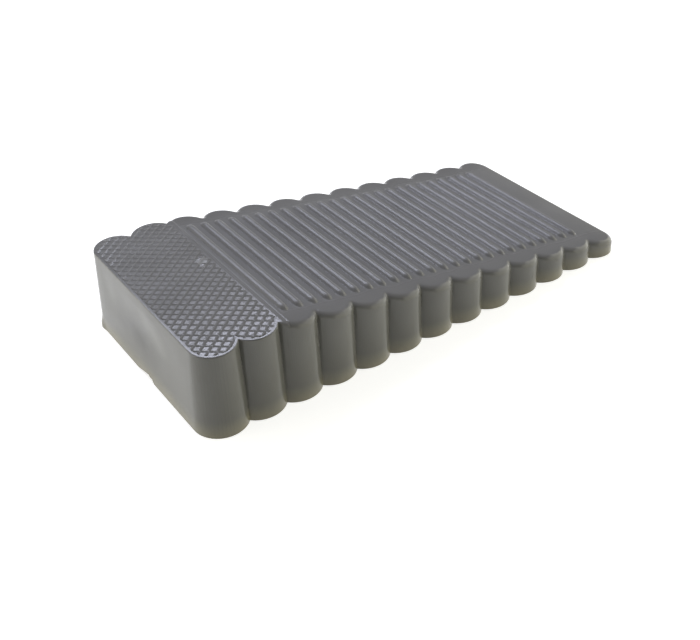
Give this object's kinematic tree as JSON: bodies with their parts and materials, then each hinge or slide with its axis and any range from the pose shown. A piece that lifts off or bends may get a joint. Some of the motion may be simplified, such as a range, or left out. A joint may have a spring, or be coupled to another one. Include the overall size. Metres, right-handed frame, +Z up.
{
  "type": "door stop",
  "caption": "Low silicone wedge with lobed sides, a hatched flat heel and raised ribs across its slope, pushed under a door to hold it open.",
  "frame": {"origin": "on the floor under the middle of the wedge's length and width", "axes": "+X from the high heel to the thin nose, +Y across the wedge, +Z up from the floor"},
  "size_m": [0.12, 0.054, 0.0202],
  "materials": {
    "silicone": "satin moulded silicone, grey and opaque"
  },
  "bodies": {
    "root": {"door_stop": "silicone"}
  },
  "joints": []
}
